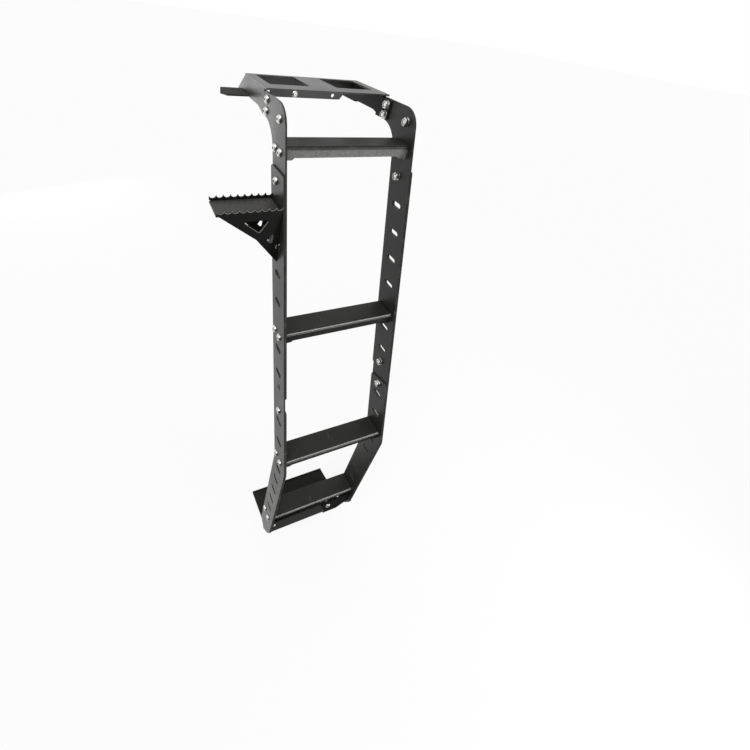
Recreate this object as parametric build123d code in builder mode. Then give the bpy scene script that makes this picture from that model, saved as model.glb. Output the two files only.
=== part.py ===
from build123d import *
from math import cos, radians, sin, tan
import os

os.makedirs("parts", exist_ok=True)

# Frame: X across the rungs, +Y towards the vehicle, +Z up as installed.
# The origin is the middle of the underside of the bottom bracket's seat.
outer_width = 246.0
rail_sheet = 3.0
pick = 1.0

# Rails: upright legs that lean towards the vehicle above the bend
rail_depth = 55.5
lean_angle = 18.9
leg_y = -59.3
bend_z = 401.2
bend_radius = 45.0
end_corner = 4.0
foot_front_z = 84.0
foot_chin_setback = 9.4
foot_chin_z = 59.0
foot_bottom_setback = 32.0
foot_bottom_z = 26.0
foot_rear_z = 47.0
foot_corner = 1.2

# Head of the upper rail
head_top_z = 1074.5
head_height = 36.0
head_rear_y = 237.0
head_nose_radius = 40.0
head_throat_radius = 55.0
head_tail_radius = 5.0

# Rungs, from the head, the bend and the foot
head_rung_drop = 68.7
rung_two_share = 0.482
bend_rung_rise = 12.8
foot_rung_z = 130.0

# Laps and gaps of the rail layers
outer_rail_drop = 95.2
upper_rail_tail = 121.5
layer_gap = 29.0

# Slots and bolt holes of the rails
slot_length = 25.0
slot_width = 10.6
slot_pitch = 50.3
slot_offset = 0.5
first_slot_drop = 66.1
upper_slot_count = 4
middle_slot_drop = 28.2
middle_slot_count = 2
low_slot_drop = 38.0
low_slot_count = 2
leg_slot_drop = 17.4
leg_slot_count = 5
bolt_hole_d = 9.0
bolt_offset = 5.5
rung_bolt_spacing = 23.0
lap_bolt_drop = 18.1
joint_bolt_edge = 11.0
head_bolt_offset = -5.5
head_bolt_drop = 23.1

# Rung channels and treads
tread_depth = 46.0
tread_sheet = 2.0
tread_rise = 13.5
tread_end_gap = 0.4
tread_corner = 3.0
nose_round = 1.2
rung_sheet = 2.5
tread_setback = 1.4
front_recess = 2.0
front_drop = 17.0
rear_drop = 15.0
end_drop = 22.5
end_corner_radius = 6.0
tab_width = 15.0
tab_drop = 3.5

# Top plate and its cheeks
top_sheet = 3.0
top_clearance = 2.0
top_front_y = 229.0
top_length = 122.0
window_inner_x = 27.0
window_outer_x = 103.0
window_front = 33.0
window_rear = 113.0
window_corner = 6.0
lip_left_x = -113.0
lip_right_x = 17.0
lip_slant = 6.0
lip_drop = 12.4
lip_hole_d = 6.6
lip_hole_drop = 6.7
lip_hole_left_x = -69.0
lip_hole_right_x = 3.0
rear_lip_drop = 18.0
rear_lip_gap = 1.0
cheek_front_y = 211.0
cheek_joint_gap = 0.5
cheek_tongue_lap = 12.0
cheek_tongue_edge = 1.0
cheek_low_run = 28.0
cheek_low_round = 40.0
cheek_corner = 4.0
cheek_rear_reach = 45.0
cheek_low_step = 7.0
cheek_bolt_inset = 16.4
cheek_bolt_drop = 10.1
cheek_bolt_spacing = 17.6
foot_flange_width = 33.0
foot_flange_length = 60.0
foot_flange_lip = 12.0
foot_hole_d = 9.0
foot_hole_x = 13.0
foot_hole_inset = 19.0

# Bottom bracket and its corner brackets
bottom_sheet = 3.0
wall_inset = 5.0
wall_top_z = 127.0
wall_low_z = 69.0
wall_top_x = 22.0
wall_low_x = 42.0
seat_half = 57.0
seat_end_gap = 0.4
rear_lip = 6.0
fold_radius = 4.0
corner_inner_x = 30.0
corner_top_z = 116.0
corner_tab_rise = 8.0
corner_low_z = 72.0
corner_round = 16.0
corner_step_x = 46.0
corner_free_z = 48.0
corner_chamfer = 29.0
corner_hole_x = 51.0
corner_hole_z = 98.0
corner_flange = 30.0

# Side step
step_sheet = 3.0
step_reach = 107.0
step_depth = 55.5
step_rise = 23.0
tooth_count = 9
tooth_height = 4.5
tooth_tip = 0.6
floor_drop = 8.0
back_height = 78.0
gusset_tip_drop = 6.4
gusset_knee = (41.0, 56.0)
gusset_toe = (11.5, 91.5)
gusset_root_drop = 105.0
big_cut = ((65.8, 20.8), (21.7, 20.8), (36.9, 43.0))
small_cut = ((11.8, 42.0), (22.2, 58.2), (13.8, 66.0))
cut_corner = 2.0

# Derived widths and directions
outer_x = outer_width / 2
inner_layer_x = outer_x - rail_sheet
inner_face_x = inner_layer_x - rail_sheet
lean = radians(lean_angle)
half_depth = rail_depth / 2
half_run = half_depth / cos(lean)
leg_front_y = leg_y - half_depth
leg_rear_y = leg_y + half_depth
knee_shift = (half_run - half_depth) / tan(lean)
sides = (("left", -1), ("right", 1))


def axis_y(z):
    # Middle line of a rail at height z
    return leg_y + max(z - bend_z, 0) * tan(lean)


def square_cut(z):
    # Front and rear corners of a cut across the leaning rail
    across = (half_depth * cos(lean), half_depth * sin(lean))
    return ((axis_y(z) - across[0], z + across[1]), (axis_y(z) + across[0], z - across[1]))


# Heights that follow from the head, the bend and the foot
rung_low = bend_z + bend_rung_rise
rung_high = head_top_z - head_rung_drop
rung_z = (rung_high, rung_low + (rung_high - rung_low) * rung_two_share, rung_low, foot_rung_z)
rung_y = [axis_y(z) + bolt_offset for z in rung_z]
outer_top_z = head_top_z - outer_rail_drop
upper_end_z = rung_z[1] - upper_rail_tail
liner_top_z = upper_end_z - layer_gap
head_low_z = head_top_z - head_height
top_z = head_top_z + top_clearance + top_sheet

# Slot and hole places of a rail pair as (y, z)
first_slot_z = outer_top_z - first_slot_drop
slot_rows = ((first_slot_z, upper_slot_count), (rung_z[1] - middle_slot_drop, middle_slot_count),
             (liner_top_z - low_slot_drop, low_slot_count), (bend_z - leg_slot_drop, leg_slot_count))
slot_z = [top - slot_pitch * i for top, count in slot_rows for i in range(count)]
slot_places = [(axis_y(z) + slot_offset, z) for z in slot_z]
rung_holes = [(y + s * rung_bolt_spacing / 2, z) for y, z in zip(rung_y, rung_z) for s in (-1, 1)]
lap_z = outer_top_z - lap_bolt_drop
upper_joint_z = upper_end_z + joint_bolt_edge
lower_joint_z = liner_top_z - joint_bolt_edge
joint_holes = [(axis_y(lap_z) + bolt_offset, lap_z),
               (axis_y(upper_joint_z) + slot_offset, upper_joint_z),
               (axis_y(lower_joint_z) + slot_offset, lower_joint_z)]
cheek_bolt_z = head_top_z - cheek_bolt_drop
cheek_holes = [(head_rear_y - cheek_bolt_inset, cheek_bolt_z),
               (head_rear_y - cheek_bolt_inset, cheek_bolt_z - cheek_bolt_spacing)]
head_bolt_z = head_top_z - head_bolt_drop
head_holes = cheek_holes + [(axis_y(head_bolt_z) + head_bolt_offset, head_bolt_z)]

# Foot outline shared by both layers of a leg, from the rear knee to the front knee
leg_path = [(leg_rear_y, bend_z - knee_shift), (leg_rear_y, foot_rear_z),
            (leg_front_y + foot_bottom_setback, foot_bottom_z),
            (leg_front_y + foot_chin_setback, foot_chin_z),
            (leg_front_y, foot_front_z), (leg_front_y, bend_z + knee_shift)]

for side, sign in sides:
    layer = Plane.YZ.offset(sign * inner_layer_x)
    skin = Plane.YZ.offset(sign * outer_x)
    inward = -sign * rail_sheet

    # Upper rail: curved head, leaning run, square end
    tail_front, tail_rear = square_cut(upper_end_z)
    nose_y = axis_y(head_top_z) - half_run
    throat_y = axis_y(head_low_z) + half_run
    with BuildPart() as upper_rail:
        with BuildSketch(layer) as outline:
            with BuildLine() as edge:
                Polyline(tail_front, (nose_y, head_top_z), (head_rear_y, head_top_z),
                         (head_rear_y, head_low_z), (throat_y, head_low_z), tail_rear, close=True)
            make_face()
            fillet(outline.vertices().sort_by(Axis.Y)[:2], end_corner)
            nose = outline.vertices().filter_by_position(Axis.X, nose_y - pick, nose_y + pick)
            fillet(nose.sort_by(Axis.Y)[-1], head_nose_radius)
            throat = outline.vertices().filter_by_position(Axis.Y, head_low_z - pick, head_low_z + pick)
            fillet(throat.sort_by(Axis.X)[0], head_throat_radius)
            tail = outline.vertices().filter_by_position(Axis.X, head_rear_y - pick, head_rear_y + pick)
            fillet(tail, head_tail_radius)
            with Locations(*[p for p in slot_places if p[1] > upper_end_z + slot_length]):
                SlotOverall(slot_length, slot_width, mode=Mode.SUBTRACT)
            with Locations(*[p for p in rung_holes + joint_holes + head_holes if p[1] > upper_end_z]):
                Circle(bolt_hole_d / 2, mode=Mode.SUBTRACT)
        extrude(amount=inward)
    upper_rail.part.label = f"upper_rail_{side}"
    export_step(upper_rail.part, f"parts/upper_rail_{side}.step")

    # Outer rail: laps the upper rail from outside, level at its top, upright below the bend
    with BuildPart() as outer_rail:
        with BuildSketch(skin) as outline:
            with BuildLine() as edge:
                Polyline((axis_y(outer_top_z) - half_run, outer_top_z),
                         (axis_y(outer_top_z) + half_run, outer_top_z), *leg_path, close=True)
            make_face()
            fillet(outline.vertices().sort_by(Axis.Y)[-2:], end_corner)
            toes = outline.vertices().filter_by_position(Axis.Y, foot_bottom_z - pick, foot_front_z + pick)
            fillet(toes, foot_corner)
            knees = outline.vertices().filter_by_position(Axis.Y, bend_z - knee_shift - pick,
                                                          bend_z + knee_shift + pick)
            fillet(knees, bend_radius)
            with Locations(*slot_places):
                SlotOverall(slot_length, slot_width, mode=Mode.SUBTRACT)
            with Locations(*[p for p in rung_holes + joint_holes if p[1] < outer_top_z]):
                Circle(bolt_hole_d / 2, mode=Mode.SUBTRACT)
        extrude(amount=inward)
    outer_rail.part.label = f"outer_rail_{side}"
    export_step(outer_rail.part, f"parts/outer_rail_{side}.step")

    # Inner leg: lines the leg and the bend, with a gap left under the upper rail
    with BuildPart() as inner_leg:
        with BuildSketch(layer) as outline:
            with BuildLine() as edge:
                Polyline(*square_cut(liner_top_z), *leg_path, close=True)
            make_face()
            fillet(outline.vertices().sort_by(Axis.Y)[-2:], end_corner)
            toes = outline.vertices().filter_by_position(Axis.Y, foot_bottom_z - pick, foot_front_z + pick)
            fillet(toes, foot_corner)
            knees = outline.vertices().filter_by_position(Axis.Y, bend_z - knee_shift - pick,
                                                          bend_z + knee_shift + pick)
            fillet(knees, bend_radius)
            with Locations(*[p for p in slot_places if p[1] < liner_top_z]):
                SlotOverall(slot_length, slot_width, mode=Mode.SUBTRACT)
            with Locations(*[p for p in rung_holes + joint_holes if p[1] < liner_top_z]):
                Circle(bolt_hole_d / 2, mode=Mode.SUBTRACT)
        extrude(amount=inward)
    inner_leg.part.label = f"inner_leg_{side}"
    export_step(inner_leg.part, f"parts/inner_leg_{side}.step")

# Rungs: a folded channel with bolted ends under a flat tread, both with an overhanging nose
for number, (y, z) in enumerate(zip(rung_y, rung_z), start=1):
    web_top = z + tread_rise - tread_sheet
    nose_y = y - tread_depth / 2
    channel_front = nose_y + front_recess
    channel_rear = nose_y + tread_depth
    channel_middle = (channel_front + channel_rear) / 2
    flange_low = web_top - front_drop
    tab_low = flange_low - tab_drop
    tab_x = inner_face_x - tab_width
    with BuildPart() as rung:
        with BuildSketch(Plane.XY.offset(web_top)) as web:
            with Locations((0, y)):
                Rectangle(2 * inner_face_x, tread_depth)
        extrude(amount=-rung_sheet)
        with BuildSketch(Plane.XZ.offset(-channel_front)) as front_flange:
            with BuildLine() as edge:
                Polyline((-inner_face_x, web_top), (inner_face_x, web_top), (inner_face_x, tab_low),
                         (tab_x, tab_low), (tab_x - tab_drop, flange_low),
                         (tab_drop - tab_x, flange_low), (-tab_x, tab_low),
                         (-inner_face_x, tab_low), close=True)
            make_face()
        extrude(amount=-rung_sheet)
        with BuildSketch(Plane.XZ.offset(-channel_rear)) as rear_flange:
            with Locations((0, web_top - rear_drop / 2)):
                Rectangle(2 * inner_face_x, rear_drop)
        extrude(amount=rung_sheet)
        for s in (-1, 1):
            with BuildSketch(Plane.YZ.offset(s * inner_face_x)) as end_flange:
                with Locations((channel_middle, web_top - end_drop / 2)):
                    Rectangle(channel_rear - channel_front, end_drop)
                fillet(end_flange.vertices().sort_by(Axis.Y)[:2].sort_by(Axis.X)[-1], end_corner_radius)
                with Locations((y - rung_bolt_spacing / 2, z), (y + rung_bolt_spacing / 2, z)):
                    Circle(bolt_hole_d / 2, mode=Mode.SUBTRACT)
            extrude(amount=-s * rung_sheet)
    rung.part.label = f"rung_{number}"
    export_step(rung.part, f"parts/rung_{number}.step")

    with BuildPart() as tread:
        with BuildSketch(Plane.XY.offset(web_top)) as plate:
            with Locations((0, y + tread_setback / 2)):
                RectangleRounded(2 * (inner_face_x - tread_end_gap), tread_depth - tread_setback, tread_corner)
        extrude(amount=tread_sheet)
        fillet(tread.edges().group_by(Axis.Z)[-1].sort_by(Axis.Y)[0], nose_round)
    tread.part.label = f"tread_{number}"
    export_step(tread.part, f"parts/tread_{number}.step")

# Top plate: two windows, a short lip folded down in front and a full one behind
plate_low_z = top_z - top_sheet
top_rear_y = top_front_y + top_length
with BuildPart() as top_plate:
    with BuildSketch(Plane.XY.offset(top_z)) as plate:
        with Locations((0, top_front_y + top_length / 2)):
            Rectangle(2 * inner_layer_x, top_length)
        window_x = (window_inner_x + window_outer_x) / 2
        window_y = top_front_y + (window_front + window_rear) / 2
        with Locations((-window_x, window_y), (window_x, window_y)):
            RectangleRounded(window_outer_x - window_inner_x, window_rear - window_front,
                             window_corner, mode=Mode.SUBTRACT)
    extrude(amount=-top_sheet)
    with BuildSketch(Plane.XZ.offset(-top_front_y)) as front_lip:
        with BuildLine() as edge:
            Polyline((lip_left_x, top_z), (lip_right_x + lip_slant, top_z),
                     (lip_right_x + lip_slant, plate_low_z), (lip_right_x, top_z - lip_drop),
                     (lip_left_x, top_z - lip_drop), close=True)
        make_face()
        with Locations((lip_hole_left_x, top_z - lip_hole_drop), (lip_hole_right_x, top_z - lip_hole_drop)):
            Circle(lip_hole_d / 2, mode=Mode.SUBTRACT)
    extrude(amount=-top_sheet)
    with BuildSketch(Plane.XZ.offset(-top_rear_y)) as back_lip:
        with Locations((0, top_z - rear_lip_drop / 2)):
            Rectangle(2 * (inner_face_x - rear_lip_gap), rear_lip_drop)
    extrude(amount=top_sheet)
top_plate.part.label = "top_plate"
export_step(top_plate.part, "parts/top_plate.step")

# Cheeks: flush behind the rail heads, with a tongue bolted inside each head and an outward foot
cheek_low_z = head_low_z + cheek_low_step
cheek_rear_y = top_rear_y + cheek_rear_reach
cheek_joint_y = head_rear_y + cheek_joint_gap
foot_start_y = cheek_rear_y - foot_flange_length
for side, sign in sides:
    with BuildPart() as cheek:
        with BuildSketch(Plane.YZ.offset(sign * inner_layer_x)) as wall:
            with BuildLine() as edge:
                Polyline((cheek_joint_y, head_low_z), (cheek_joint_y + cheek_low_run, cheek_low_z),
                         (cheek_rear_y, cheek_low_z), (top_rear_y, plate_low_z),
                         (cheek_joint_y, plate_low_z), close=True)
            make_face()
            sweep_y = cheek_joint_y + cheek_low_run
            sweep = wall.vertices().filter_by_position(Axis.X, sweep_y - pick, sweep_y + pick)
            fillet(sweep, cheek_low_round)
        extrude(amount=-sign * top_sheet)
        with BuildSketch(Plane.YZ.offset(sign * inner_face_x)) as tongue:
            tongue_length = cheek_joint_y + cheek_tongue_lap - cheek_front_y
            tongue_height = head_height - 2 * cheek_tongue_edge
            with Locations((cheek_front_y + tongue_length / 2, (head_low_z + head_top_z) / 2)):
                Rectangle(tongue_length, tongue_height)
            fillet(tongue.vertices().sort_by(Axis.X)[:2], cheek_corner)
            with Locations(*cheek_holes):
                Circle(bolt_hole_d / 2, mode=Mode.SUBTRACT)
        extrude(amount=-sign * top_sheet)
        with BuildSketch(Plane.XY.offset(cheek_low_z)) as foot:
            foot_width = foot_flange_width + 2 * top_sheet
            with Locations((sign * (inner_face_x + foot_width / 2), foot_start_y + foot_flange_length / 2)):
                Rectangle(foot_width, foot_flange_length)
            with Locations((sign * (outer_x + foot_hole_x), cheek_rear_y - foot_hole_inset)):
                Circle(foot_hole_d / 2, mode=Mode.SUBTRACT)
        extrude(amount=-top_sheet)
        with BuildSketch(Plane.YZ.offset(sign * (outer_x + foot_flange_width))) as foot_lip:
            with BuildLine() as edge:
                Polyline((foot_start_y, cheek_low_z), (cheek_rear_y, cheek_low_z),
                         (cheek_rear_y, cheek_low_z - foot_flange_lip),
                         (foot_start_y, cheek_low_z - top_sheet), close=True)
            make_face()
        extrude(amount=-sign * top_sheet)
    cheek.part.label = f"top_cheek_{side}"
    export_step(cheek.part, f"parts/top_cheek_{side}.step")

# Bottom bracket: one folded sheet, upright wall, slanted underside, sloping seat and rear lip
wall_y = leg_front_y + wall_inset
seat_front_z = seat_half * tan(lean)
lip_tip = (seat_half + rear_lip * sin(lean), rear_lip * cos(lean) - seat_front_z)
with BuildPart() as bottom_bracket:
    with BuildSketch(Plane.YZ.offset(-inner_face_x + seat_end_gap)) as fold:
        with BuildLine() as sheet_line:
            FilletPolyline((wall_y, wall_top_z), (wall_y, wall_low_z), (-seat_half, seat_front_z),
                           (seat_half, -seat_front_z), lip_tip, radius=fold_radius)
            offset(amount=bottom_sheet, side=Side.LEFT)
        make_face()
    extrude(amount=2 * (inner_face_x - seat_end_gap))
    with BuildSketch(Plane.XZ.offset(-wall_y + bottom_sheet)) as short_end:
        with BuildLine() as edge:
            cut_low_z = seat_front_z + 2 * bottom_sheet
            Polyline((wall_top_x, wall_top_z + bottom_sheet), (wall_low_x, wall_low_z), (wall_low_x, cut_low_z),
                     (inner_face_x, cut_low_z), (inner_face_x, wall_top_z + bottom_sheet), close=True)
        make_face()
    extrude(amount=wall_y - bottom_sheet, mode=Mode.SUBTRACT)
bottom_bracket.part.label = "bottom_bracket"
export_step(bottom_bracket.part, "parts/bottom_bracket.step")

# Corner brackets: a flange on each leg and a tab behind the wall, dropped and bolted where the wall stops short
tab_y = wall_y + bottom_sheet
tab_top_z = corner_top_z + corner_tab_rise
chamfer_z = corner_free_z + corner_chamfer
hidden_tab = [(-inner_face_x, tab_top_z), (-corner_inner_x, tab_top_z),
              (-corner_inner_x, corner_low_z), (-inner_face_x, corner_low_z)]
free_tab = [(inner_face_x, tab_top_z), (corner_inner_x, tab_top_z), (corner_inner_x, corner_low_z),
            (corner_step_x, corner_low_z), (corner_step_x, corner_free_z),
            (inner_face_x - corner_chamfer, corner_free_z), (inner_face_x, chamfer_z)]
for side, sign in sides:
    with BuildPart() as corner_bracket:
        with BuildSketch(Plane.XZ.offset(-tab_y)) as tab:
            with BuildLine() as edge:
                Polyline(*(free_tab if sign > 0 else hidden_tab), close=True)
            make_face()
            inner_end = tab.vertices().filter_by_position(Axis.X, -corner_inner_x - pick, corner_inner_x + pick)
            fillet(inner_end.sort_by(Axis.Y)[-1], corner_round)
            if sign > 0:
                with Locations((corner_hole_x, corner_hole_z)):
                    Circle(bolt_hole_d / 2, mode=Mode.SUBTRACT)
        extrude(amount=-bottom_sheet)
        with BuildSketch(Plane.YZ.offset(sign * inner_face_x)) as flange:
            with Locations((tab_y + corner_flange / 2, (corner_top_z + chamfer_z) / 2)):
                Rectangle(corner_flange, corner_top_z - chamfer_z)
        extrude(amount=-sign * bottom_sheet)
    corner_bracket.part.label = f"corner_bracket_{side}"
    export_step(corner_bracket.part, f"parts/corner_bracket_{side}.step")

# Side step on the left rail: two serrated gusset plates, a floor and a back plate
step_peak_z = first_slot_z + step_rise
step_y = axis_y(first_slot_z) + bolt_offset
step_front_y = step_y - step_depth / 2
step_rear_y = step_y + step_depth / 2
step_out_x = outer_x + step_reach
tooth_pitch = step_reach / tooth_count
half_gap = (tooth_pitch - tooth_tip) / 2
scallop_radius = (half_gap ** 2 + tooth_height ** 2) / (2 * tooth_height)
scallop_z = step_peak_z - tooth_height + scallop_radius
floor_z = step_peak_z - floor_drop
for name, y, inside in (("step_front_plate", step_front_y, 1), ("step_rear_plate", step_rear_y, -1)):
    with BuildPart() as step_plate:
        with BuildSketch(Plane.XZ.offset(-y)) as shape:
            with BuildLine() as edge:
                Polyline((-step_out_x, step_peak_z), (-outer_x, step_peak_z),
                         (-outer_x, step_peak_z - gusset_root_drop),
                         (-outer_x - gusset_toe[0], step_peak_z - gusset_toe[1]),
                         (-outer_x - gusset_knee[0], step_peak_z - gusset_knee[1]),
                         (-step_out_x, step_peak_z - gusset_tip_drop), close=True)
            make_face()
            with Locations(*[(-step_out_x + tooth_pitch * (i + 0.5), scallop_z) for i in range(tooth_count)]):
                Circle(scallop_radius, mode=Mode.SUBTRACT)
            for corners in (big_cut, small_cut):
                with BuildLine() as cut:
                    FilletPolyline(*[(-outer_x - out, step_peak_z - drop) for out, drop in corners],
                                   radius=cut_corner, close=True)
                make_face(mode=Mode.SUBTRACT)
        extrude(amount=-inside * step_sheet)
    step_plate.part.label = name
    export_step(step_plate.part, f"parts/{name}.step")

# Step floor: folded down along the rail, bolted through the first two slots
with BuildPart() as step_floor:
    with BuildSketch(Plane.XZ.offset(-step_front_y - step_sheet)) as fold:
        with BuildLine() as sheet_line:
            FilletPolyline((-step_out_x, floor_z), (-outer_x, floor_z), (-outer_x, floor_z - back_height),
                           radius=fold_radius)
            offset(amount=step_sheet, side=Side.RIGHT)
        make_face()
    extrude(amount=-(step_depth - 2 * step_sheet))
    with BuildSketch(Plane.YZ.offset(-outer_x)) as bolts:
        with Locations((slot_places[0][0], slot_places[0][1]),
                       (slot_places[1][0] + (slot_length - slot_width) / 2, slot_places[1][1])):
            Circle(bolt_hole_d / 2)
    extrude(amount=-2 * step_sheet, mode=Mode.SUBTRACT)
step_floor.part.label = "step_floor"
export_step(step_floor.part, "parts/step_floor.step")
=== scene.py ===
# %% [markdown]
# # Finishing a bolt-on hatch ladder
# The ladder is laser-cut and folded sheet steel, powder coated black and bolted together, so that it can
# hang on a vehicle's rear hatch. The frame brings in every steel piece at its true size and place. What
# is left for Blender is what a buyer sees and touches: the fine grain of the coat, edges rubbed by boots,
# dust on the treads, and the bright bolts, washers and nuts that join the sheets. Some light and shade is
# painted into the coat's colour too: highlights along front edges, a sheen on the top rung and a darker
# right cheek.

# %% Load the frame
import math

import bmesh
import bpy
from mathutils import Matrix, Vector


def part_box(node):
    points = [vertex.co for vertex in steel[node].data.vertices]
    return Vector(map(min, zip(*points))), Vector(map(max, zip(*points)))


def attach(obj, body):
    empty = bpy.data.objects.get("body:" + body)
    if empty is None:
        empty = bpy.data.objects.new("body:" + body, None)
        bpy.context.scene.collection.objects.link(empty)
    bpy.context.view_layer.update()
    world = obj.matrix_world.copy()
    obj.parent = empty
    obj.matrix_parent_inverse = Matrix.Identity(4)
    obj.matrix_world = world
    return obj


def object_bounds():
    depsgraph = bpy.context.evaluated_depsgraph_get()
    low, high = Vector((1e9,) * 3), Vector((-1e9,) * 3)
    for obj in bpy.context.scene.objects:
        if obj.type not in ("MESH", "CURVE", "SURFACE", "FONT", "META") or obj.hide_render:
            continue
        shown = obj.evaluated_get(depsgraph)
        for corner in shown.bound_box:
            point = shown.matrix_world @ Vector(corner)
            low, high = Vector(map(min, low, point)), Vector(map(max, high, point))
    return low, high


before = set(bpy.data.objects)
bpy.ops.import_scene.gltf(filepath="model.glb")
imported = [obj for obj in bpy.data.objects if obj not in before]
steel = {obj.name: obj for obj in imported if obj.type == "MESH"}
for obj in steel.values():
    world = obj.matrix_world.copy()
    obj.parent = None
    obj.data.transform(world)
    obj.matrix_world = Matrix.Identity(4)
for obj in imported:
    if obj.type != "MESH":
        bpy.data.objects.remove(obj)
cad_low, cad_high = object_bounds()
MM = 0.001
print("steel pieces:", len(steel), "height in metres:", round(cad_high.z - cad_low.z, 3))

# %% [markdown]
# ## Node-group helpers
# Grain, rubbed edges and dust appear on every piece, so each one is a shader node group, built once and
# placed in each material with its own values. A group only puts out values and masks; the shader itself
# stays in the material. A few small helpers keep the groups readable: they start a group with named
# sockets, add a node and wire its inputs, and make the noises and ranges that come up again and again.

# %% Helpers for node groups
def start_group(name, inputs, outputs):
    group = bpy.data.node_groups.new(name, "ShaderNodeTree")
    for label, default in inputs.items():
        group.interface.new_socket(label, in_out="INPUT",
                                   socket_type="NodeSocketFloat").default_value = default
    for label in outputs:
        group.interface.new_socket(label, in_out="OUTPUT", socket_type="NodeSocketFloat")
    return group, group.nodes.new("NodeGroupInput"), group.nodes.new("NodeGroupOutput")


def wire(tree, value, socket):
    if isinstance(value, bpy.types.NodeSocket):
        tree.links.new(value, socket)
    else:
        socket.default_value = value


def add(tree, kind, settings=None, **wires):
    node = tree.nodes.new(kind)
    for key, value in (settings or {}).items():
        setattr(node, key, value)
    for key, value in wires.items():
        numbered = key.startswith("in") and key[2:].isdigit()
        wire(tree, value, node.inputs[int(key[2:]) if numbered else key.replace("_", " ")])
    return node


def math_node(tree, operation, first, second=0.0, clamp=False):
    return add(tree, "ShaderNodeMath", {"operation": operation, "use_clamp": clamp},
               in0=first, in1=second).outputs[0]


def remap(tree, value, low, high, to_low=0.0, to_high=1.0):
    return add(tree, "ShaderNodeMapRange", in0=value, in1=low, in2=high, in3=to_low, in4=to_high).outputs[0]


def noise(tree, place, **settings):
    return add(tree, "ShaderNodeTexNoise", Vector=place, **settings).outputs["Fac"]


def object_place(tree):
    return add(tree, "ShaderNodeTexCoord").outputs["Object"]


def face_normal(tree):
    return add(tree, "ShaderNodeNewGeometry").outputs["Normal"]


def split(tree, vector, axis):
    return add(tree, "ShaderNodeSeparateXYZ", Vector=vector).outputs[axis]


print("node helpers ready")

# %% [markdown]
# ## The grain of a powder coat
# Powder is sprayed on dry and melts in an oven. It flows into a fine pebbled skin, about a millimetre
# from crest to crest, with slow waves underneath. Two noises on object coordinates give that: a fine one
# for the pebbles and a slow one for the mottled gloss. Object coordinates are in metres, so a scale of
# 900 means 900 grains in a metre.

# %% Coat grain group
GRAINS_PER_METRE = 900.0
WAVES_PER_METRE = 140.0
PATCHES_PER_METRE = 9.0


def build_coat_grain():
    group, given, result = start_group(
        "coat_grain", {"Grains per metre": GRAINS_PER_METRE, "Wave share": 0.3}, ["Height", "Mottle"])
    place = object_place(group)
    pebbles = noise(group, place, Scale=given.outputs["Grains per metre"], Detail=2.0, Roughness=0.55)
    waves = noise(group, place, Scale=WAVES_PER_METRE, Detail=1.0)
    patches = noise(group, place, Scale=PATCHES_PER_METRE, Detail=4.0, Roughness=0.6)
    slow = math_node(group, "MULTIPLY", waves, given.outputs["Wave share"])
    group.links.new(math_node(group, "ADD", pebbles, slow), result.inputs["Height"])
    group.links.new(patches, result.inputs["Mottle"])
    return group


coat_grain = build_coat_grain()
print("made group", coat_grain.name)

# %% [markdown]
# ## Rubbed edges and painted highlights
# A coat is thinnest on sharp sheet edges, where boots and straps polish it. The Bevel node looks for
# edges near each point: where its rounded normal leaves the flat face's normal, the point is close to an
# edge. A broken noise keeps the rub from running along every edge like a painted line. Another input
# keeps the band only where the rounded normal points forward and up, and a gain makes it fuller. There
# the band is mostly a painted highlight, the line of light that a rounded front edge catches, and partly
# boot wear.

# %% Edge rub and highlight group
EDGE_REACH = 0.0009
EDGE_GAIN = 6.0
WHOLE_EDGE_BAND = 0.78


def build_edge_rub_and_highlight():
    group, given, result = start_group(
        "edge_rub_and_highlight", {"Reach": EDGE_REACH, "Broken": 0.5, "Front only": 0.0, "Gain": EDGE_GAIN}, ["Mask"])
    gain = given.outputs["Gain"]
    rounded = add(group, "ShaderNodeBevel", {"samples": 6}, Radius=given.outputs["Reach"]).outputs[0]
    agree = add(group, "ShaderNodeVectorMath", {"operation": "DOT_PRODUCT"},
                in0=rounded, in1=face_normal(group))
    edge = math_node(group, "SUBTRACT", 1.0, agree.outputs["Value"])
    strong = math_node(group, "MULTIPLY", edge, gain, clamp=True)
    patchy = noise(group, object_place(group), Scale=42.0, Detail=5.0, Roughness=0.7)
    kept = remap(group, patchy, given.outputs["Broken"], WHOLE_EDGE_BAND)
    # Edges whose rounded normal points forward and up: this part paints the highlight a rounded front edge
    # catches.
    forward = math_node(group, "MAXIMUM", math_node(group, "MULTIPLY", split(group, rounded, "Y"), -1.0), 0.0)
    upward = math_node(group, "MAXIMUM", split(group, rounded, "Z"), 0.0)
    nose = math_node(group, "MULTIPLY", math_node(group, "MULTIPLY", forward, upward), gain, clamp=True)
    allowed = add(group, "ShaderNodeMix", {"data_type": "FLOAT"},
                  in0=given.outputs["Front only"], in2=1.0, in3=nose)
    edge_band = math_node(group, "MULTIPLY", strong, kept)
    group.links.new(math_node(group, "MULTIPLY", edge_band, allowed.outputs[0]), result.inputs["Mask"])
    return group


edge_rub_and_highlight = build_edge_rub_and_highlight()
print("made group", edge_rub_and_highlight.name)

# %% [markdown]
# ## Dust and scuffs
# Dust settles on what faces up, so its mask starts from the upward part of the normal. Boots leave short
# pale scuffs across a tread: a noise squeezed along the step gives streaks that run from front to back,
# and a sharp threshold keeps only a few of them.

# %% Dust and scuff groups
DUST_GAIN = 2.0
SCUFF_TURN = (0.0, 0.0, math.radians(12))
SCUFF_SQUEEZE = (520.0, 60.0, 60.0)
WHOLE_SCUFF = 0.74


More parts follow.
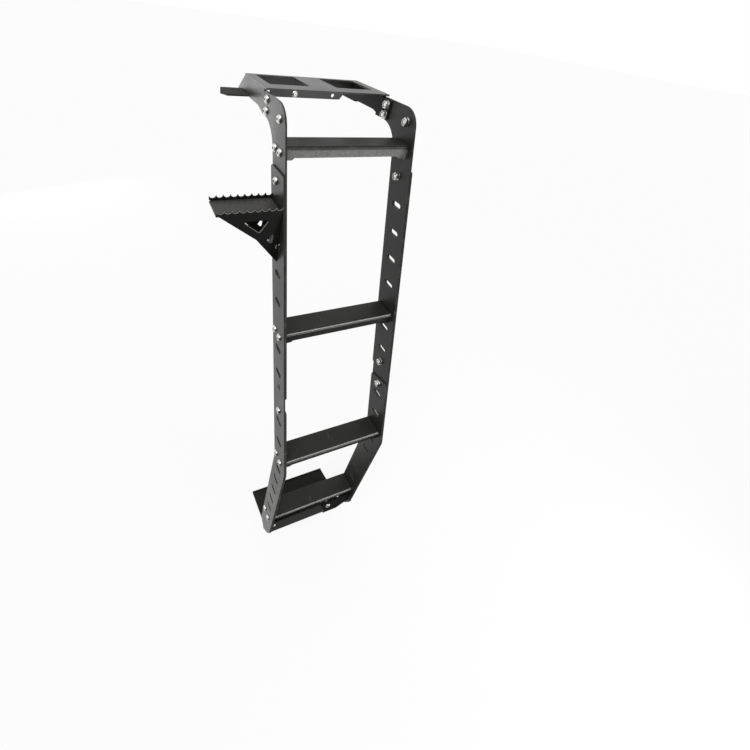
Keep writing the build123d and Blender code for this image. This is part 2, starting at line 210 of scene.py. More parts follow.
def build_dust():
    group, given, result = start_group("settled_dust", {"Amount": 0.2}, ["Mask"])
    place = object_place(group)
    facing = math_node(group, "MAXIMUM", split(group, face_normal(group), "Z"), 0.0)
    cloud = noise(group, place, Scale=26.0, Detail=6.0, Roughness=0.65)
    speck = noise(group, place, Scale=1400.0, Detail=1.0)
    thick = math_node(group, "MULTIPLY", math_node(group, "MULTIPLY", cloud, speck), DUST_GAIN, clamp=True)
    mask = math_node(group, "MULTIPLY", math_node(group, "MULTIPLY", facing, thick), given.outputs["Amount"])
    group.links.new(mask, result.inputs["Mask"])
    return group


def build_scuffs():
    group, given, result = start_group("boot_scuffs", {"Threshold": 0.64}, ["Mask"])
    place = object_place(group)
    squeeze = add(group, "ShaderNodeMapping", Vector=place, Rotation=SCUFF_TURN, Scale=SCUFF_SQUEEZE)
    streak = noise(group, squeeze.outputs[0], Scale=1.0, Detail=3.0)
    patch = noise(group, place, Scale=30.0, Detail=2.0)
    both = math_node(group, "MULTIPLY", math_node(group, "ADD", streak, patch), 0.5)
    group.links.new(remap(group, both, given.outputs["Threshold"], WHOLE_SCUFF), result.inputs["Mask"])
    return group


settled_dust = build_dust()
boot_scuffs = build_scuffs()
print("made groups", settled_dust.name, boot_scuffs.name)

# %% [markdown]
# ## Black powder coat
# The coat is a near-black satin. Seen square on it is dark; at a shallow angle the room's light slides
# off it and it turns grey, which is why the outside of the rails looks paler than the treads. That is
# plain Fresnel gloss, so the Principled shader does it by itself. A Bevel node feeds the bump's normal,
# so that sheet edges catch a thin line of light as real rounded edges do. Three options change the coat
# by place: below a height the colour turns a lighter grey, a painted sheen; the coat is matte beyond a
# width; and it is matte on cut edges that face forward, because melting powder draws back from a sharp
# edge. The rubbed-edge colour can be lifted, and on front edges it then stands for a painted highlight.

# %% Powder coat material
DEEP = (0.012, 0.012, 0.0115)
WORN = (0.024, 0.024, 0.023)
# Colour of rubbed edges; lifted and kept to front edges, it is a painted highlight.
RUB_AND_HIGHLIGHT = (0.36, 0.355, 0.345)
DUST = (0.22, 0.21, 0.19, 1.0)
SCUFFED = (0.09, 0.088, 0.085, 1.0)
# Lighter greys of a painted sheen on the top rung's front.
SHEEN_LOW = (0.105, 0.104, 0.100, 1.0)
SHEEN_HIGH = (0.165, 0.163, 0.158, 1.0)
SHEEN_BLUR = 0.0004
SMOOTHER, ROUGHER = 0.05, 0.07
DUST_DULL = 0.5
MATTE_RISE = 0.6
MATTE_BLUR = 0.0008
CUT_STARTS, CUT_WHOLE = -0.6, -0.85
SOFT_EDGE = 0.0007
GRAIN_HEIGHT = 0.00004


def use_group(tree, group, **values):
    return add(tree, "ShaderNodeGroup", {"node_tree": group}, **values)


def blend_colour(tree, share, first, second):
    return add(tree, "ShaderNodeMix", {"data_type": "RGBA"}, Factor=share, in6=first, in7=second).outputs[2]


def start_material(name):
    material = bpy.data.materials.new(name)
    material.use_nodes = True
    return material, material.node_tree, material.node_tree.nodes["Principled BSDF"]


def powder_coat(name, gloss=0.36, bend=1.45, tint=1.0, grains=GRAINS_PER_METRE, dust=0.08, edge_band=0.5,
                reach=EDGE_REACH, edge_lift=1.0, front=0.0, gain=EDGE_GAIN, scuff=None, sheen_below=None,
                matte_from=None, cut_edge=False):
    coat, tree, shader = start_material(name)
    shader.inputs["IOR"].default_value = bend
    grain = use_group(tree, coat_grain, Grains_per_metre=grains)
    edges = use_group(tree, edge_rub_and_highlight, Reach=reach, Broken=edge_band, Front_only=front, Gain=gain)
    dusty = use_group(tree, settled_dust, Amount=dust)
    deep = tuple(c * tint for c in DEEP) + (1.0,)
    worn = tuple(c * tint for c in WORN) + (1.0,)
    colour = blend_colour(tree, grain.outputs["Mottle"], deep, worn)
    if scuff is not None:
        marks = use_group(tree, boot_scuffs, Threshold=scuff)
        colour = blend_colour(tree, marks.outputs["Mask"], colour, SCUFFED)
    # Below the line the colour turns lighter grey: a painted sheen. Above it the plain black stays, which
    # under a tread reads as painted shadow.
    if sheen_below is not None:
        place = object_place(tree)
        below = remap(tree, split(tree, place, "Z"), sheen_below + SHEEN_BLUR, sheen_below - SHEEN_BLUR)
        sheen_patches = noise(tree, place, Scale=330.0, Detail=3.0)
        bright = blend_colour(tree, remap(tree, sheen_patches, 0.38, 0.62), SHEEN_LOW, SHEEN_HIGH)
        colour = blend_colour(tree, below, colour, bright)
    # Edge band colour: rubbed wear, and a painted highlight where only front edges are kept and the colour is
    # lifted.
    edge_colour = tuple(c * edge_lift for c in RUB_AND_HIGHLIGHT) + (1.0,)
    colour = blend_colour(tree, edges.outputs["Mask"], colour, edge_colour)
    colour = blend_colour(tree, dusty.outputs["Mask"], colour, DUST)
    tree.links.new(colour, shader.inputs["Base Color"])
    rough = remap(tree, grain.outputs["Mottle"], 0.3, 0.7, gloss - SMOOTHER, gloss + ROUGHER)
    dull = math_node(tree, "MULTIPLY", dusty.outputs["Mask"], DUST_DULL)
    if cut_edge:
        facing = split(tree, face_normal(tree), "Y")
        dull = math_node(tree, "ADD", dull, remap(tree, facing, CUT_STARTS, CUT_WHOLE, 0.0, MATTE_RISE))
    if matte_from is not None:
        aside = math_node(tree, "ABSOLUTE", split(tree, object_place(tree), "X"))
        matte = remap(tree, aside, matte_from, matte_from + MATTE_BLUR, 0.0, MATTE_RISE)
        dull = math_node(tree, "ADD", dull, matte)
    tree.links.new(math_node(tree, "ADD", rough, dull, clamp=True), shader.inputs["Roughness"])
    soft_edge = add(tree, "ShaderNodeBevel", {"samples": 4}, Radius=SOFT_EDGE)
    skin = add(tree, "ShaderNodeBump", Strength=1.0, Distance=GRAIN_HEIGHT, Height=grain.outputs["Height"],
               Normal=soft_edge.outputs[0])
    tree.links.new(skin.outputs[0], shader.inputs["Normal"])
    return coat


rail_coat = powder_coat("rail_coat", cut_edge=True)
print("made material", rail_coat.name)

# %% [markdown]
# ## One coat, several duties
# Every piece comes from the same oven, but they live differently. Treads are stood on, so they are
# duller, with scuffs. The pale line along the front edge of the treads and rungs is mostly a painted
# highlight, partly boot wear. The top rung is a lighter grey below a line, a painted sheen, and the strip
# right below its tread keeps the plain black as a painted shadow. The right rail shows its inner side,
# which nobody touches, so it stays dull; the right cheek has a darker tint, painted shade. The corner
# brackets, the foot and the side step are the blackest pieces, and the bright cut edges of the step's
# front plate are a painted highlight. Each duty gets the same recipe with its own values.

# %% Coats of the treads, rungs, brackets and step
# The top rung's painted sheen starts this far below its top; the strip above keeps the plain black as a
# painted shadow under the nose.
NOSE_SHADOW_DROP = 4.5 * MM
FLANGE_SIDE = 120.8 * MM
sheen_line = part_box("rung_1")[1].z - NOSE_SHADOW_DROP
far_coat = powder_coat("far_coat", gloss=0.40, bend=1.34, cut_edge=True)
# Treads: a bright, unbroken band on front edges, mostly a painted highlight, partly wear.
tread_coat = powder_coat("tread_coat", gloss=0.42, bend=1.30, tint=0.9, edge_band=-0.5, reach=0.0025, edge_lift=2.1,
                         front=1.0, gain=40.0, scuff=0.60, dust=0.05)
top_tread_coat = powder_coat("top_tread_coat", gloss=0.42, bend=1.34, tint=0.9, scuff=0.60, dust=0.05)
# Rungs: the same front-edge band, a painted highlight.
rung_coat = powder_coat("rung_coat", gloss=0.40, bend=1.35, edge_band=-0.5, reach=0.0032, front=1.0)
# Top rung: a painted sheen below the line.
sheen_rung_coat = powder_coat("sheen_rung_coat", gloss=0.40, sheen_below=sheen_line)
bracket_coat = powder_coat("bracket_coat", gloss=0.34, bend=1.5, tint=1.4)
cheek_coat = powder_coat("cheek_coat", bend=1.47, matte_from=FLANGE_SIDE)
# Right cheek: darker tint and weaker gloss, painted shade for the side that lies in shade.
shade_coat = powder_coat("shade_coat", gloss=0.5, bend=1.2, tint=0.7)
corner_coat = powder_coat("corner_coat", gloss=0.6, bend=1.05, tint=0.4, dust=0.0, edge_band=0.6)
foot_coat = powder_coat("foot_coat", gloss=0.55, bend=1.10, tint=0.8)
step_look = {"gloss": 0.46, "bend": 1.2, "tint": 0.5, "grains": 700.0, "dust": 0.02}
step_coat = powder_coat("step_coat", edge_band=0.45, **step_look)
# Step front: bright front edges, a painted highlight.
step_front_coat = powder_coat("step_front_coat", edge_band=-0.5, reach=0.0016, front=1.0, gain=25.0, **step_look)
step_floor_coat = powder_coat("step_floor_coat", gloss=0.42, bend=1.4, scuff=0.60, dust=0.16)
DUTIES = (("tread_1", top_tread_coat), ("tread", tread_coat), ("rung_1", sheen_rung_coat),
          ("rung", rung_coat), ("step_floor", step_floor_coat), ("step_front", step_front_coat),
          ("step", step_coat), ("top_plate", bracket_coat), ("top_cheek_left", cheek_coat),
          ("top_cheek_right", shade_coat), ("bottom", foot_coat), ("corner", corner_coat))


def coat_for(node):
    usual = far_coat if node.endswith("right") else rail_coat
    return next((coat for start, coat in DUTIES if node.startswith(start)), usual)


for node, piece in steel.items():
    piece.data.materials.clear()
    piece.data.materials.append(coat_for(node))
print("coated", len(steel), "pieces")

# %% [markdown]
# ## Zinc-bright fasteners
# Bolts, washers and nuts are bright zinc. Plating and handling leave a soft uneven shine, so the
# roughness follows a fine noise and the bump is very shallow. The ring of a locking nut is dark nylon.

# %% Metal and nylon materials
ZINC_DARK = (0.56, 0.56, 0.55, 1.0)
ZINC_PALE = (0.74, 0.74, 0.72, 1.0)
ZINC_EDGE = (0.85, 0.85, 0.83, 1.0)
NYLON_DARK = (0.020, 0.021, 0.023, 1.0)
NYLON_PALE = (0.035, 0.036, 0.040, 1.0)
HEIGHT_LOW, HEIGHT_HIGH = 0.4, 0.9


def bright_zinc():
    metal, tree, shader = start_material("bright_zinc")
    shader.inputs["Metallic"].default_value = 1.0
    grain = use_group(tree, coat_grain, Grains_per_metre=2600.0)
    edges = use_group(tree, edge_rub_and_highlight, Reach=0.0004, Broken=0.3)
    tone = blend_colour(tree, grain.outputs["Mottle"], ZINC_DARK, ZINC_PALE)
    tone = blend_colour(tree, edges.outputs["Mask"], tone, ZINC_EDGE)
    tree.links.new(tone, shader.inputs["Base Color"])
    rough = remap(tree, grain.outputs["Height"], HEIGHT_LOW, HEIGHT_HIGH, 0.22, 0.36)
    tree.links.new(rough, shader.inputs["Roughness"])
    skin = add(tree, "ShaderNodeBump", Strength=0.6, Distance=0.00001, Height=grain.outputs["Height"])
    tree.links.new(skin.outputs[0], shader.inputs["Normal"])
    return metal


def nylon_ring():
    plastic, tree, shader = start_material("nylon_ring")
    grain = use_group(tree, coat_grain, Grains_per_metre=1800.0)
    tone = blend_colour(tree, grain.outputs["Mottle"], NYLON_DARK, NYLON_PALE)
    tree.links.new(tone, shader.inputs["Base Color"])
    rough = remap(tree, grain.outputs["Height"], HEIGHT_LOW, HEIGHT_HIGH, 0.4, 0.55)
    tree.links.new(rough, shader.inputs["Roughness"])
    return plastic


zinc = bright_zinc()
nylon = nylon_ring()
print("made materials", zinc.name, nylon.name)

# %% [markdown]
# ## A button-head bolt
# A button head is a low dome with a hexagon socket. The dome is a short profile of a few points, spun
# round the bolt's axis. The socket's hexagon is divided so that it has as many points as the dome's top
# ring; then the two loops are bridged, and the hexagon is pushed down for the key. Everything is made
# along +Z first, with the seat of the head at zero. Profiles are in millimetres, and most values are
# shares of the bolt's size.

# %% Button head
BOLT = 8.0
RING = 24
AXIS_GAP = 0.05
WELD = 0.00001
LEVEL = 0.00005
HEAD_RADIUS = 0.875
BUTTON_CROWN, FLUSH_CROWN = 0.55, 0.14
CROWN = ((1.0, 0.0), (1.0, 0.18), (0.93, 0.46), (0.80, 0.72), (0.62, 0.92), (0.50, 1.0))
KEY_RADIUS = 0.34
KEY_DEPTH = 0.6
KEY_SIDES = 6


def spin_profile(bm, points):
    made = [bm.verts.new(Vector((r * MM, 0.0, z * MM))) for r, z in points]
    edges = [bm.edges.new(pair) for pair in zip(made, made[1:])]
    bmesh.ops.spin(bm, geom=made + edges, cent=(0, 0, 0), axis=(0, 0, 1), angle=math.tau,
                   steps=RING, use_merge=True)
    bmesh.ops.remove_doubles(bm, verts=bm.verts, dist=WELD)


def level_edges(bm, height):
    return [e for e in bm.edges if all(abs(v.co.z - height * MM) < LEVEL for v in e.verts)]


def button_head(size, crown_share=BUTTON_CROWN):
    bm = bmesh.new()
    radius, height = HEAD_RADIUS * size, crown_share * size
    spin_profile(bm, [(AXIS_GAP, 0.0)] + [(r * radius, h * height) for r, h in CROWN])
    dome_edge = [e for e in level_edges(bm, height) if e.is_boundary]
    key = bmesh.ops.create_circle(bm, cap_ends=False, segments=KEY_SIDES,
                                  radius=KEY_RADIUS * size * MM)["verts"]
    bmesh.ops.translate(bm, verts=key, vec=(0, 0, height * MM))
    hexagon = list(dict.fromkeys(e for v in key for e in v.link_edges))
    cut = bmesh.ops.subdivide_edges(bm, edges=hexagon, cuts=RING // KEY_SIDES - 1)
    hexagon = [e for e in cut["geom"] if isinstance(e, bmesh.types.BMEdge)]
    bmesh.ops.bridge_loops(bm, edges=dome_edge + hexagon)
    socket = bmesh.ops.extrude_edge_only(bm, edges=hexagon)
    floor = [v for v in socket["geom"] if isinstance(v, bmesh.types.BMVert)]
    bmesh.ops.translate(bm, verts=floor, vec=(0, 0, -KEY_DEPTH * height * MM))
    bmesh.ops.holes_fill(bm, edges=[e for e in bm.edges if e.is_boundary], sides=0)
    bmesh.ops.recalc_face_normals(bm, faces=bm.faces)
    return bm


def flush_head(size):
    return button_head(size, crown_share=FLUSH_CROWN)


test = button_head(BOLT)
print("button head faces:", len(test.faces), "open edges:", sum(e.is_boundary for e in test.edges))
test.free()

# %% [markdown]
# ## Washer, locking nut and bolt end
# A washer is a spun rectangle with eased corners. A locking nut is a hexagon whose top corners are
# bevelled, with a round collar that grips a nylon ring. The bolt's end stops just inside the collar, so
# the middle of the nut stays dark; its thread is a spun zigzag.

# %% Washer and nut
WASHER_THICK = 0.15
NUT_RADIUS, NUT_HEIGHT, NUT_EASE = 0.94, 0.55, 0.06
COLLAR_HEIGHT = 0.15
COLLAR = ((0.72, 0.0), (0.72, 0.7), (0.66, 1.0), (0.56, 1.0))
NYLON = ((0.60, 0.0), (0.60, 0.9), (0.49, 0.8))
THREAD_FOOT, THREAD_ROOT, THREAD_CREST, THREAD_TIP = 0.2, 0.44, 0.5, 0.40
THREAD_PITCH = 0.15
FIRST_TURN, END_SUNK = 2.4, 0.7


def washer(size):
    bm = bmesh.new()
    inner, outer, thick, ease = 0.53 * size, 0.95 * size, WASHER_THICK * size, 0.03 * size
    spin_profile(bm, [(inner, 0.0), (outer - ease, 0.0), (outer, ease), (outer, thick - ease),
                      (outer - ease, thick), (inner, thick), (inner, 0.0)])
    bmesh.ops.recalc_face_normals(bm, faces=bm.faces)
    return bm


def locking_nut(size):
    bm = bmesh.new()
    radius, height, collar = NUT_RADIUS * size, NUT_HEIGHT * size, COLLAR_HEIGHT * size
    bmesh.ops.create_cone(bm, cap_ends=True, segments=6, radius1=radius * MM, radius2=radius * MM,
                          depth=height * MM)
    bmesh.ops.translate(bm, verts=bm.verts, vec=(0, 0, height / 2 * MM))
    bmesh.ops.bevel(bm, geom=level_edges(bm, height), offset=NUT_EASE * size * MM, affect="EDGES", segments=2,
                    profile=0.5, material=-1)
    spin_profile(bm, [(r * size, height + h * collar) for r, h in COLLAR])
    bmesh.ops.recalc_face_normals(bm, faces=bm.faces)
    before = set(bm.faces)
    spin_profile(bm, [(r * size, height + h * collar) for r, h in NYLON])
    for face in set(bm.faces) - before:
        face.material_index = 1
    top, pitch = height + collar, THREAD_PITCH * size
    end = top - END_SUNK * pitch
    thread = [(AXIS_GAP, THREAD_FOOT * size), (THREAD_ROOT * size, THREAD_FOOT * size)]
    thread += [((THREAD_ROOT if i % 2 else THREAD_CREST) * size, top - FIRST_TURN * pitch + i * pitch / 2)
               for i in range(4)]
    spin_profile(bm, thread + [(THREAD_TIP * size, end), (AXIS_GAP, end)])
    bmesh.ops.recalc_face_normals(bm, faces=bm.faces)
    return bm


test = locking_nut(BOLT)
print("locking nut faces:", len(test.faces))
test.free()

# %% [markdown]
# ## Where the bolts go
# All places are measured from the frame. A rung's bolts sit under its tread, level with each other. The
# rails lean, so the two highest rungs give the line that every other bolt of the leaning run is measured
# from. A set is a head outside and a nut on the inner face, with a washer under most nuts.

# %% Bolt places
BOLT_DROP = 11.5 * MM
HALF_PAIR = 11.5 * MM
LAP_DROP = 18.1 * MM
HEAD_DROP, HEAD_OFFSET = 23.1 * MM, -11.0 * MM
CHEEK_INSET, CHEEK_DROP, CHEEK_SPACING = 16.4 * MM, 10.1 * MM, 17.6 * MM


def rung_spot(number):
    low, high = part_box(f"rung_{number}")
    return Vector((0.0, (low.y + high.y) / 2, high.z - BOLT_DROP))


first, second = rung_spot(1), rung_spot(2)
slope = (first.y - second.y) / (first.z - second.z)


def on_rail(z, offset=0.0):
    return Vector((0.0, first.y + (z - first.z) * slope + offset, z))


outer_low, outer_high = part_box("outer_rail_left")
upper_low, upper_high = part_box("upper_rail_left")
liner_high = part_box("inner_leg_left")[1]
rail_skin = -outer_low.x
head_skin = -upper_low.x
inner_skin = -upper_high.x
lap_spot = on_rail(outer_high.z - LAP_DROP)
head_spot = on_rail(upper_high.z - HEAD_DROP, HEAD_OFFSET)
cheek_spot = Vector((0.0, upper_high.y - CHEEK_INSET, upper_high.z - CHEEK_DROP))
cheek_spots = [cheek_spot, cheek_spot - Vector((0, 0, CHEEK_SPACING))]
print("rails lean by", round(math.degrees(math.atan(slope)), 1), "degrees; skin at", round(rail_skin, 4))

# %% [markdown]
# ## Placing a set of fasteners
# Each shape is made once along +Z. To place it, the bmesh is copied into the growing piece by a matrix
# that turns +Z to the wanted direction. The finished object then sits at the origin with its place in its
# mesh, like the steel pieces themselves.

# %% Fastener placement
SHAPES = {}


def shape_of(kind, size):
    if (kind, size) not in SHAPES:
        makers = {"head": button_head, "washer": washer, "nut": locking_nut, "flush_head": flush_head}
        bm = makers[kind](size)
        mesh = bpy.data.meshes.new(f"{kind}_{size:g}")
        bm.to_mesh(mesh)
        bm.free()
        SHAPES[kind, size] = mesh
    return SHAPES[kind, size]


def set_down(bm, kind, size, spot, direction, turn=0.0):
    aim = Vector(direction).to_track_quat("Z", "Y").to_matrix().to_4x4()
    part = bmesh.new()
    part.from_mesh(shape_of(kind, size))
    bmesh.ops.transform(part, matrix=Matrix.Translation(spot) @ aim @ Matrix.Rotation(turn, 4, "Z"),
                        verts=part.verts)
    placed = bpy.data.meshes.new("placed")
    part.to_mesh(placed)
    part.free()
    bm.from_mesh(placed)
    bpy.data.meshes.remove(placed)


def bolt_through(bm, outside, inside, direction, size=BOLT, turn=0.0, washers=True, head="head"):
    way = Vector(direction)
    set_down(bm, head, size, outside, way, turn)
    if washers:
        set_down(bm, "washer", size, inside, -way, turn)
        set_down(bm, "nut", size, inside - way * WASHER_THICK * size * MM, -way, turn)
    else:
        set_down(bm, "nut", size, inside, -way)


def finish_piece(name, bm, metal=zinc):
    mesh = bpy.data.meshes.new(name)
    bm.to_mesh(mesh)
    bm.free()
    mesh.materials.append(metal)
    mesh.materials.append(nylon)
    piece = bpy.data.objects.new(name, mesh)
    bpy.context.scene.collection.objects.link(piece)
    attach(piece, "root")
    return piece


print("placement helpers ready")

# %% [markdown]
# ## Bolts of the rungs
# Two bolts hold each end of a rung. The top rung is above the outer rail, so its heads sit on the upper
# rail's own face; the other rungs pass through two layers of sheet. Heads are turned a little
# differently, because nobody lines up hexagon keys.

# %% Rung bolts
RUNG_SHEET = 2.5 * MM
for number in range(1, 5):
    spot = rung_spot(number)
    skin = head_skin if number == 1 else rail_skin
    bm = bmesh.new()
    for sign in (-1, 1):
        for step in (-1, 1):
            place = spot + Vector((0, step * HALF_PAIR, 0))
            outside = place + Vector((sign * skin, 0, 0))
            inside = place + Vector((sign * (inner_skin - RUNG_SHEET), 0, 0))
            bolt_through(bm, outside, inside, (sign, 0, 0), turn=0.7 * number + 1.3 * step, washers=False)
    finish_piece(f"rung_{number}_bolts", bm)
print("rungs bolted")

# %% [markdown]
# ## Bolts of the rails and the top bracket
# The upper rail laps the outer rail with one bolt near the top edge and one by its lower end, and the
# inner leg has one below the gap. The cheeks hold on with two bolts each, and the head has one more that
# is ready for an accessory.

# %% Rail and cheek bolts
JOINT_EDGE, JOINT_OFFSET = 20.0 * MM, -5.0 * MM
SHEET = 3.0 * MM
upper_joint = on_rail(upper_low.z + JOINT_EDGE, JOINT_OFFSET)
lower_joint = on_rail(liner_high.z - JOINT_EDGE, JOINT_OFFSET)
for side, sign in (("left", -1), ("right", 1)):
    across = Vector((sign, 0, 0))
    bm = bmesh.new()
    for i, spot in enumerate(cheek_spots):
        bolt_through(bm, spot + across * head_skin, spot + across * (inner_skin - SHEET), across,
                     turn=0.5 + i)
    bolt_through(bm, head_spot + across * head_skin, head_spot + across * inner_skin, across, turn=0.2)
    finish_piece(f"top_bolts_{side}", bm)
    bm = bmesh.new()
    for i, spot in enumerate((lap_spot, lower_joint)):
        bolt_through(bm, spot + across * rail_skin, spot + across * inner_skin, across, turn=0.9 * i + 0.3)
    if side == "right":
        bolt_through(bm, upper_joint + across * rail_skin, upper_joint + across * inner_skin, across,
                     turn=0.6)
    finish_piece(f"rail_bolts_{side}", bm)
print("joints at heights", [round(v.z, 3) for v in (lap_spot, upper_joint, lower_joint)])

# %% [markdown]
# ## A flush black screw
# On the left rail no bright bolt shows at the upper joint, only a faint round mark. That fits a flat
# screw in the coat's own black. It is the same head recipe with a very low crown, so the hexagon key
# still shows close up.

# %% Flush screw
bm = bmesh.new()
left = Vector((-1, 0, 0))
bolt_through(bm, upper_joint + left * rail_skin, upper_joint + left * inner_skin, left, head="flush_head")
finish_piece("flush_screw_left", bm, metal=rail_coat)
print("flush screw at", [round(v, 3) for v in upper_joint])

# %% [markdown]
# ## Bolts of the step, the lip and the foot
# The side step hangs on the two top slots of the left rail, with its bolt heads inside the step. One
# small bolt stays in the lip of the top plate, one larger bolt is in the free tab of the right corner
# bracket, and a small screw holds the foot's wall at its left end.

# %% Step, lip and foot bolts
SLOT_DROPS = (66.1 * MM, 116.4 * MM)
LIP_X, LIP_DROP, LIP_BOLT = -69.0 * MM, 6.7 * MM, 6.0
TAB_INSET, TAB_DROP = 21.0 * MM, 26.0 * MM
SCREW_X, SCREW_Z, SCREW = -110.0 * MM, 113.0 * MM, 5.0
front = Vector((0, -1, 0))
step_skin = -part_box("step_floor")[1].x + SHEET
bm = bmesh.new()
for i, drop in enumerate(SLOT_DROPS):
    spot = on_rail(outer_high.z - drop, JOINT_OFFSET)
    bolt_through(bm, spot + left * step_skin, spot + left * inner_skin, left, turn=0.4 + i)
finish_piece("step_bolts", bm)

plate_low, plate_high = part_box("top_plate")
lip_spot = Vector((LIP_X, plate_low.y, plate_high.z - LIP_DROP))
bm = bmesh.new()
bolt_through(bm, lip_spot, lip_spot - front * SHEET, front, size=LIP_BOLT, turn=0.3)
finish_piece("lip_bolt", bm)

tab_low, tab_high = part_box("corner_bracket_right")
tab_spot = Vector((tab_low.x + TAB_INSET, tab_low.y, tab_high.z - TAB_DROP))
screw_spot = Vector((SCREW_X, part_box("bottom_bracket")[0].y, SCREW_Z))
bm = bmesh.new()
bolt_through(bm, tab_spot, tab_spot - front * SHEET, front, turn=0.8)
bolt_through(bm, screw_spot, screw_spot - front * SHEET, front, size=SCREW, turn=0.5, washers=False)
finish_piece("foot_bolts", bm)
print("step, lip and foot bolted; tab bolt at", [round(v, 3) for v in tab_spot])

# %% [markdown]
# ## Floor
# A pale studio floor keeps the ladder's soft shadow. It is one wide sheet at the height of the lowest
# steel, and to the camera it is almost white, as paper is in a product picture.

# %% Floor
WHITE = (1.0, 1.0, 1.0, 1.0)
PAPER = (0.86, 0.86, 0.86, 1.0)
GLOW_SHARE = 0.86
FLOOR_HALF, FLOOR_GAP = 30.0, 0.0005


def ray_is(tree, *kinds):
    path = tree.nodes.new("ShaderNodeLightPath")
    seen = path.outputs[f"Is {kinds[0]} Ray"]
    for kind in kinds[1:]:
        seen = math_node(tree, "MAXIMUM", seen, path.outputs[f"Is {kind} Ray"])
    return seen


def studio_floor():
    bm = bmesh.new()
    bmesh.ops.create_grid(bm, x_segments=8, y_segments=8, size=FLOOR_HALF)
    bmesh.ops.translate(bm, verts=bm.verts, vec=(0, 0, cad_low.z - FLOOR_GAP))
    mesh = bpy.data.meshes.new("studio_floor")
    bm.to_mesh(mesh)
    bm.free()
    paper, tree, shader = start_material("paper_floor")
    shader.inputs["Base Color"].default_value = PAPER
    shader.inputs["Roughness"].default_value = 0.9
    glow = add(tree, "ShaderNodeEmission", Color=WHITE, Strength=1.0)
    share = math_node(tree, "MULTIPLY", ray_is(tree, "Camera", "Glossy"), GLOW_SHARE)
    blend = add(tree, "ShaderNodeMixShader", in0=share, in1=shader.outputs[0], in2=glow.outputs[0])
    tree.links.new(blend.outputs[0], tree.nodes["Material Output"].inputs["Surface"])
    mesh.materials.append(paper)
    floor = bpy.data.objects.new("studio_floor", mesh)
    bpy.context.scene.collection.objects.link(floor)


studio_floor()
print("floor at", round(cad_low.z, 4))

# %% [markdown]
# ## World and sun
# The world is white to the camera and to gloss, and a softer fill to matte surfaces. One wide sun from
# the upper left front gives the treads and rail faces their direction.

# %% World and sun
FILL = 0.5
SUN_WAY = (0.55, 0.45, -1.0)
SUN_STRENGTH, SUN_WIDTH = 1.6, math.radians(35)


def aim_along(way):
    return Vector(way).to_track_quat("-Z", "Y").to_euler()


def studio_light():
    scene = bpy.context.scene
    world = bpy.data.worlds.new("studio")
    scene.world = world
    world.use_nodes = True
    tree = world.node_tree
    back = tree.nodes["Background"]
    back.inputs["Color"].default_value = WHITE
    seen = ray_is(tree, "Camera", "Glossy", "Transmission")
    tree.links.new(remap(tree, seen, 0.0, 1.0, FILL, 1.0), back.inputs["Strength"])
    lamp = bpy.data.lights.new("key_sun", "SUN")
    lamp.energy = SUN_STRENGTH
    lamp.angle = SUN_WIDTH
    sun = bpy.data.objects.new("key_sun", lamp)
    sun.rotation_euler = aim_along(SUN_WAY)
    scene.collection.objects.link(sun)
    scene.view_settings.view_transform = "Standard"


studio_light()
print("world and sun set")

# %% [markdown]
# ## Soft boxes
# Two soft boxes stand where their gloss slides off the steel into the lens: one low in front for the
# fronts of the top rung and the lip, one behind for the left rail's head. They light the ladder but the
# camera doesn't see them.

# %% Soft boxes
def soft_box(name, spot, aim, width, watts):
    lamp = bpy.data.lights.new(name, "AREA")
    lamp.shape = "SQUARE"
    lamp.size = width
    lamp.energy = watts
    box = bpy.data.objects.new(name, lamp)
    box.location = spot
    box.rotation_euler = aim_along(Vector(aim) - Vector(spot))
    box.visible_camera = False
    bpy.context.scene.collection.objects.link(box)


soft_box("front_soft_box", spot=(0.85, -1.15, 0.55), aim=(0.0, 0.15, 1.0), width=1.0, watts=8.5)
soft_box("back_soft_box", spot=(-0.85, 2.5, 0.45), aim=(-0.12, 0.16, 1.05), width=0.8, watts=3.2)
print("soft boxes set")

# %% [markdown]
# ## Black flag
# In an all-white room bright metal has no shape. Photographers hang black cloth, a flag, where the dark
# side of the metal should come from. This one lies on the floor in front of the ladder and then stands up
# behind the camera. Only gloss sees it, so it takes no light away: the bolt heads get a dark side, and
# the sheet edges and walls that face forward stay black.

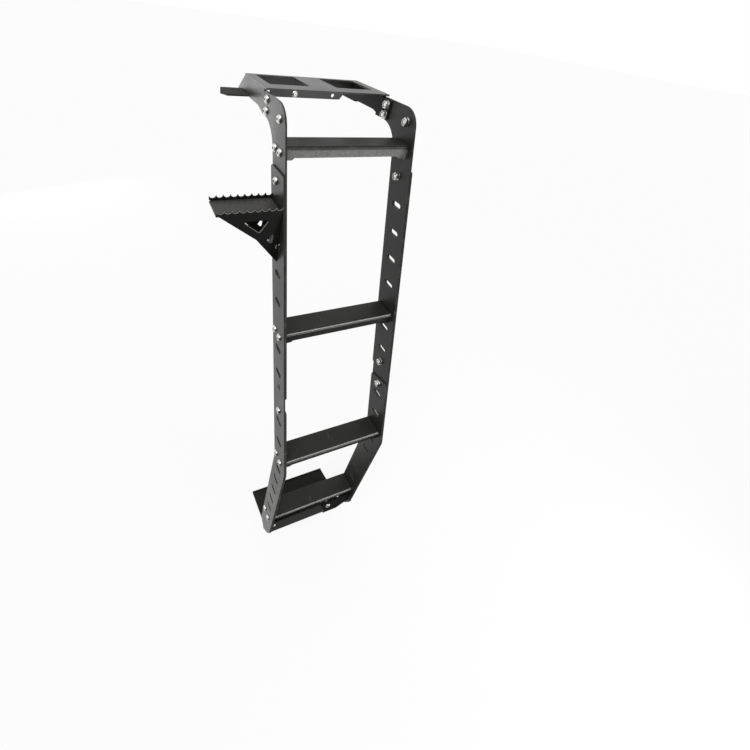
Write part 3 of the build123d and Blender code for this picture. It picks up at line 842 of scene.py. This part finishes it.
# %% Black flag
FLAG_NEAR, FLAG_FAR, FLAG_HALF, FLAG_TOP = -0.16, -2.6, 4.0, 4.0
CLOTH = (0.01, 0.01, 0.01, 1.0)


def pull(bm, edges, way):
    made = bmesh.ops.extrude_edge_only(bm, edges=edges)["geom"]
    bmesh.ops.translate(bm, verts=[v for v in made if isinstance(v, bmesh.types.BMVert)], vec=way)
    return [e for e in made if isinstance(e, bmesh.types.BMEdge)]


def black_flag():
    bm = bmesh.new()
    hem = bm.edges.new([bm.verts.new((x, FLAG_NEAR, cad_low.z)) for x in (-FLAG_HALF, FLAG_HALF)])
    fold = pull(bm, [hem], (0, FLAG_FAR - FLAG_NEAR, 0))
    pull(bm, fold, (0, 0, FLAG_TOP))
    mesh = bpy.data.meshes.new("black_flag")
    bm.to_mesh(mesh)
    bm.free()
    cloth, _, shader = start_material("flag_cloth")
    shader.inputs["Base Color"].default_value = CLOTH
    shader.inputs["Roughness"].default_value = 1.0
    mesh.materials.append(cloth)
    flag = bpy.data.objects.new("black_flag", mesh)
    bpy.context.scene.collection.objects.link(flag)
    flag.visible_camera = flag.visible_diffuse = flag.visible_shadow = flag.visible_transmission = False


black_flag()
print("flag set")

# %% [markdown]
# ## Camera
# The picture is taken from close by with a wide lens, from the left and above, so the rails run together
# towards the foot. The camera's place, turn and lens come from matching the straight edges of the steel.

# %% Camera
CAMERA_SPOT = (-0.3386, -0.3824, 1.196)
TURN, PITCH, ROLL = -25.57, 53.12, 8.30


def photo_camera():
    data = bpy.data.cameras.new("photo_camera")
    data.sensor_width = 36.0
    data.lens = 17.5
    data.shift_x = 0.1254
    data.shift_y = -0.1333
    data.clip_start = 0.01
    camera = bpy.data.objects.new("photo_camera", data)
    stand = Matrix.Translation(CAMERA_SPOT)
    for degrees, axis in ((TURN, "Z"), (PITCH, "X"), (ROLL, "Z")):
        stand = stand @ Matrix.Rotation(math.radians(degrees), 4, axis)
    camera.matrix_world = stand
    bpy.context.scene.collection.objects.link(camera)
    bpy.context.scene.camera = camera


photo_camera()
print("camera set")
